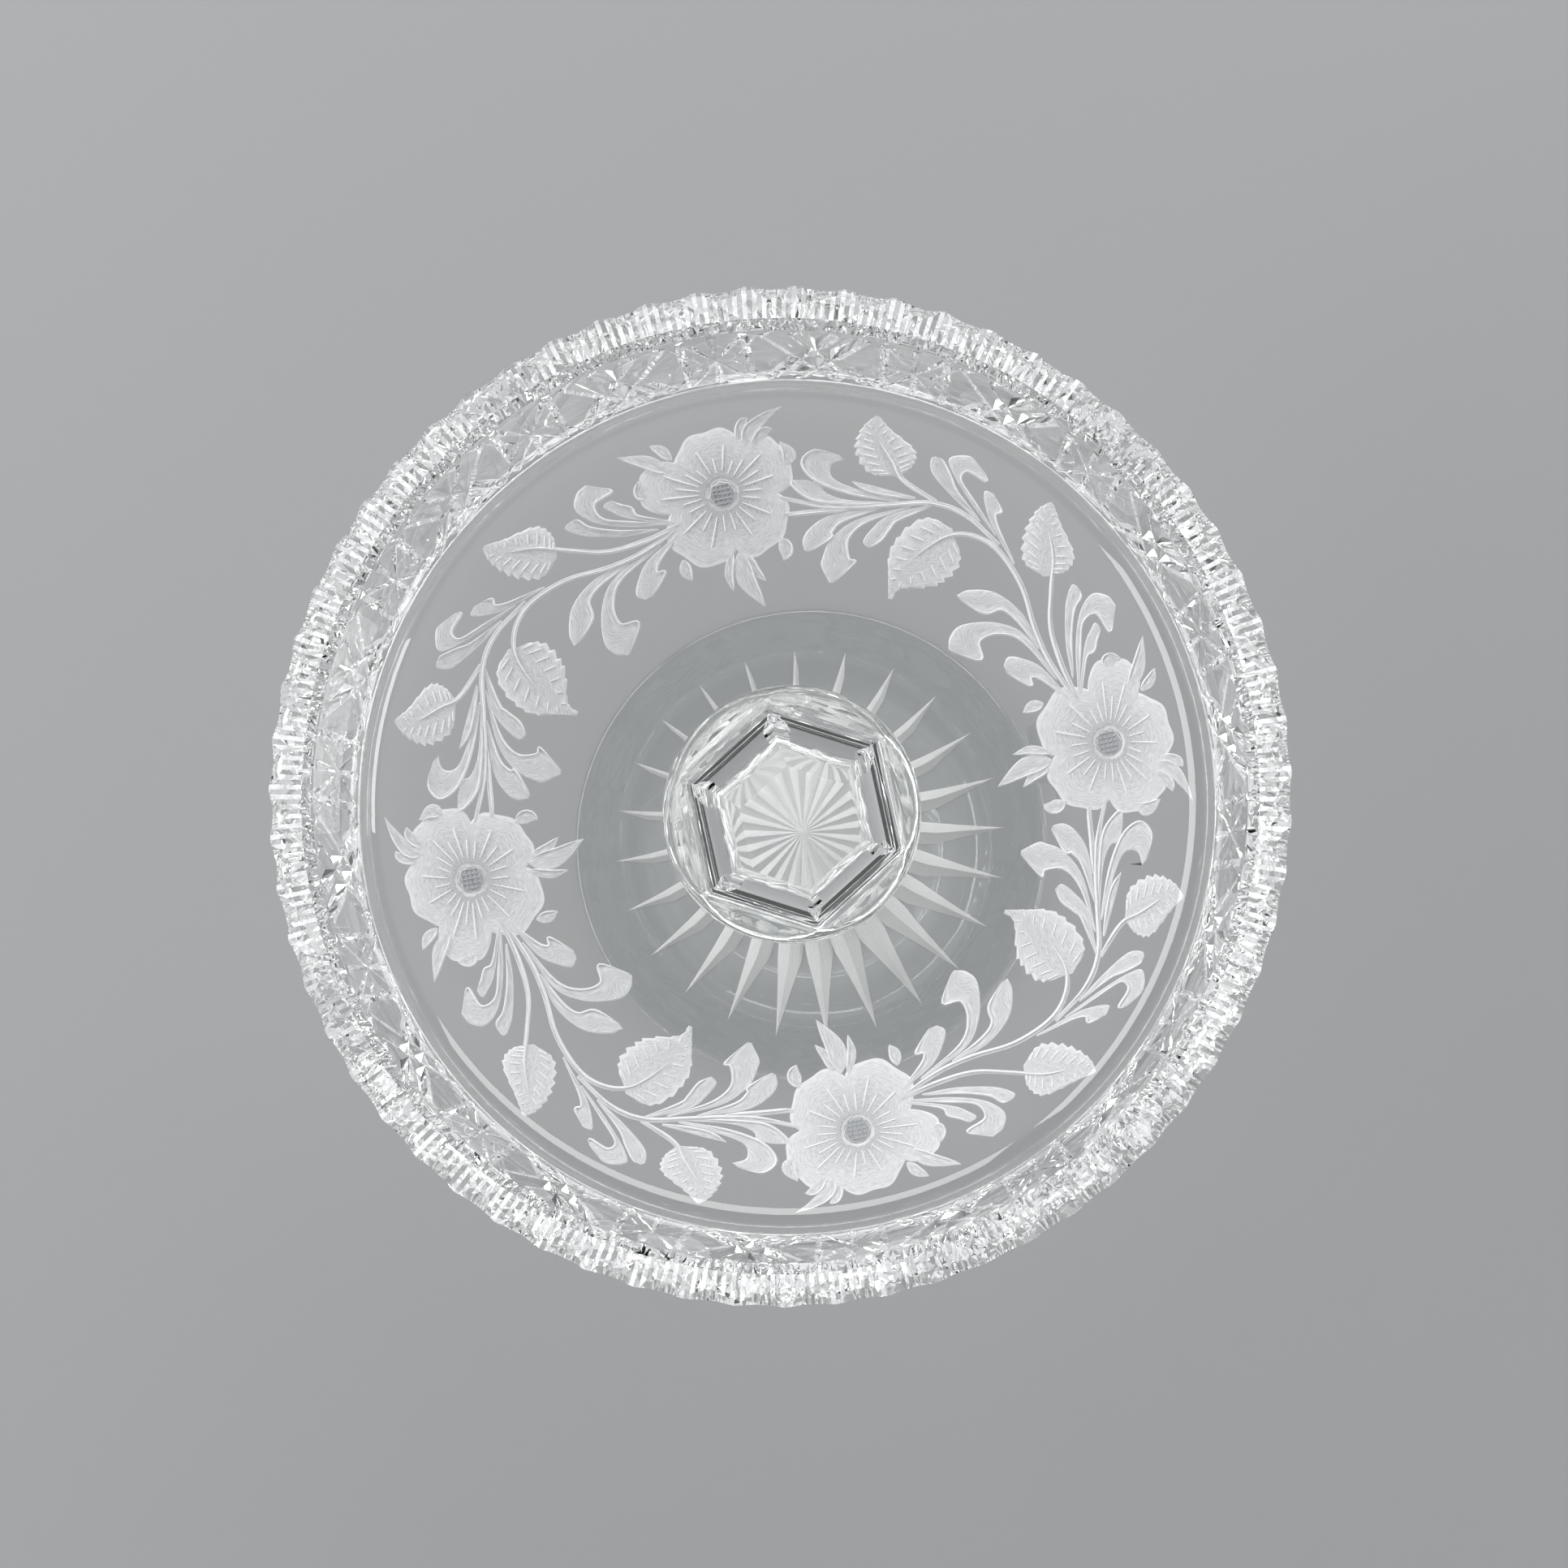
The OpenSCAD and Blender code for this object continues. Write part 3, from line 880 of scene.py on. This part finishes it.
def flare_line(line_r, top_r, foot_r):
    """Section of a column that flares out to two radii at its ends, from its foot to its top."""
    foot_a = math.degrees(math.acos((line_r + FOOT_FLARE_R - foot_r) / FOOT_FLARE_R))
    top_a = math.degrees(math.acos((line_r + TOP_FLARE_R - top_r) / TOP_FLARE_R))
    return (arc((line_r + FOOT_FLARE_R, panel_foot_z), FOOT_FLARE_R, 180 + foot_a, 180, FOOT_FLARE_STEPS)
            + arc((line_r + TOP_FLARE_R, panel_top_z), TOP_FLARE_R, 180, 180 - top_a, TOP_FLARE_STEPS))


stem_section = ([(0, FOOT_TOP_Z), (STEM_FOOT_R, FOOT_TOP_Z)]
                + flare_line(STEM_COLUMN_R, STEM_TOP_R, STEM_FOOT_R)
                + [(STEM_TOP_R, STEM_TOP_Z), (seat_r, STEM_TOP_Z), (0, STEM_TOP_Z)])
stem = new_piece("hollow_cut_stem", turned(stem_section), STEM_GLASS)
panel_line = flare_line(STEM_FLAT_R, STEM_FLAT_R + TOP_FLARE_R, STEM_FLAT_R + FOOT_FLARE_R)
for i in range(STEM_SIDES):
    panel = new_cutters()
    edge = [panel.verts.new((r * MM, -PANEL_REACH * MM, z * MM)) for r, z in panel_line]
    side = panel.faces.new(edge)
    pulled = bmesh.ops.extrude_face_region(panel, geom=[side])
    far = [v for v in pulled["geom"] if isinstance(v, bmesh.types.BMVert)]
    bmesh.ops.translate(panel, verts=far, vec=(0, 2 * PANEL_REACH * MM, 0))
    bmesh.ops.recalc_face_normals(panel, faces=panel.faces)
    bmesh.ops.transform(panel, matrix=turn_to(STEM_TURN + 360 * i / STEM_SIDES), verts=panel.verts)
    cut_away(stem, panel, STEM_GLASS)
fuse(stem, [STEM_TOP_Z], seat_r)
fuse(stem, [FOOT_TOP_Z], STEM_FOOT_R)
finish_piece(stem, "stem")

# Foot
rim = Vector((FOOT_R - FOOT_EDGE_R, FOOT_EDGE_H))
seat = Vector((STEM_FOOT_R, FOOT_TOP_Z))
chord = (seat - rim).length
hollow_r = (chord ** 2 / 4 + FOOT_SAG ** 2) / (2 * FOOT_SAG)
slope = math.atan2(seat.y - rim.y, rim.x - seat.x)
hollow_c = (rim + seat) / 2 + (hollow_r - FOOT_SAG) * Vector((math.sin(slope), math.cos(slope)))
half_turn = math.degrees(math.asin(chord / 2 / hollow_r))
middle_a = 270 - math.degrees(slope)
foot_section = ([(0, 0), (FOOT_R - FOOT_BEVEL, 0), (FOOT_R, FOOT_BEVEL)]
                + arc((FOOT_R - FOOT_EDGE_R, FOOT_EDGE_H - FOOT_EDGE_R), FOOT_EDGE_R, 0, 90, FOOT_EDGE_STEPS)
                + arc(hollow_c, hollow_r, middle_a + half_turn, middle_a - half_turn, FOOT_HOLLOW_STEPS)[1:]
                + [(0, FOOT_TOP_Z)])
foot = new_piece("star_cut_foot", turned(foot_section), FOOT_GLASS)
star = new_cutters()
deep = STAR_CUT_H + CUT_EXTRA
grow = deep / STAR_CUT_H
bmesh.ops.create_cone(star, cap_ends=True, segments=2 * RAY_N, radius1=grow * RAY_TIP_R * MM, radius2=0,
                      depth=deep * MM, matrix=shift(0, 0, deep / 2 - CUT_EXTRA))
for vert in star.verts:
    turn = math.degrees(math.atan2(vert.co.y, vert.co.x))
    if round(turn * RAY_N / 180) % 2 and vert.co.z < 0:
        vert.co.xy *= RAY_ROOT_R / RAY_TIP_R
bmesh.ops.recalc_face_normals(star, faces=star.faces)
bmesh.ops.transform(star, matrix=turn_to(STAR_TURN), verts=star.verts)
strokes = star.loops.layers.uv[STROKE_MAP]
for face in star.faces:
    along = face.calc_center_median().xy.normalized()
    for loop in face.loops:
        place = loop.vert.co.xy / MM
        loop[strokes].uv = (place.dot(along), place.cross(along))
# The star's cut faces take the finish with the painted highlight
cut_away(foot, star, STAR_CUT)
fuse(foot, [FOOT_TOP_Z], STEM_FOOT_R)
finish_piece(foot, "foot")

# Floor, a hair below the foot so that it shows through the glass
FLOOR_GAP = 0.1
FLOOR_REACH = 6
floor_shape = bmesh.new()
bmesh.ops.create_grid(floor_shape, x_segments=1, y_segments=1, size=FLOOR_REACH,
                      matrix=shift(0, 0, -FLOOR_GAP))
floor_finish, _ = new_finish("pale_floor", Base_Color=(0.36, 0.364, 0.368, 1), Roughness=0.6)
floor = new_piece("pale_floor", floor_shape, floor_finish)

# Light
BOX_AIM = Vector((0, 0, 0.15))
SKY_STOPS = ((0.0, 0.10), (0.35, 0.05), (0.5, 0.7), (0.75, 0.8), (0.88, 0.15), (1.0, 0.08))
SKY_BLUE = 1.02


def soft_box(name, place, width, height, power):
    lamp = bpy.data.lights.new(name, "AREA")
    lamp.shape = "RECTANGLE"
    lamp.size = width
    lamp.size_y = height
    lamp.energy = power
    box = bpy.data.objects.new(name, lamp)
    box.location = place
    box.rotation_euler = (BOX_AIM - Vector(place)).to_track_quat("-Z", "Y").to_euler()
    bpy.context.scene.collection.objects.link(box)


soft_box("left_box", (-1.8, 0.3, 1.26), width=3.2, height=0.55, power=34)
soft_box("back_box", (0.3, 1.8, 1.26), width=3.2, height=0.55, power=30)
soft_box("right_box", (1.9, -0.2, 0.7), width=1.0, height=0.3, power=8)

world = bpy.data.worlds.new("soft_studio")
bpy.context.scene.world = world
world.use_nodes = True
sky = world.node_tree.nodes
sky_links = world.node_tree.links
direction = sky.new("ShaderNodeTexCoord")
split = sky.new("ShaderNodeSeparateXYZ")
ramp = sky.new("ShaderNodeValToRGB")
sky_links.new(direction.outputs["Generated"], split.inputs["Vector"])
sky_links.new(split.outputs["Z"], ramp.inputs["Fac"])
sky_links.new(ramp.outputs["Color"], sky["Background"].inputs["Color"])
while len(ramp.color_ramp.elements) < len(SKY_STOPS):
    ramp.color_ramp.elements.new(0.5)
for stop, (height, level) in zip(ramp.color_ramp.elements, SKY_STOPS):
    stop.position = height
    stop.color = (level, level, level * SKY_BLUE, 1)

# Camera, as in a fit to the photo
PHOTO_PX = 1932
LENS_PX = 7244
SENSOR = 36
VIEW_FROM = Vector((0.0643, -0.1017, 1.4916))
VIEW_ALONG = Vector((-0.048, 0.079, -0.996)).normalized()
UP_HINT = Vector((0, 1, 0.079))
camera_data = bpy.data.cameras.new("camera")
camera_data.sensor_width = SENSOR
camera_data.lens = LENS_PX / PHOTO_PX * SENSOR
camera = bpy.data.objects.new("camera", camera_data)
right = VIEW_ALONG.cross(UP_HINT).normalized()
up = right.cross(VIEW_ALONG)
camera.matrix_world = Matrix.Translation(VIEW_FROM) @ Matrix((right, up, -VIEW_ALONG)).transposed().to_4x4()
bpy.context.scene.collection.objects.link(camera)
bpy.context.scene.camera = camera

scene = bpy.context.scene
scene.view_settings.view_transform = "Standard"
scene.cycles.max_bounces = 32
scene.cycles.transmission_bounces = 24
scene.cycles.glossy_bounces = 12
scene.cycles.transparent_max_bounces = 32
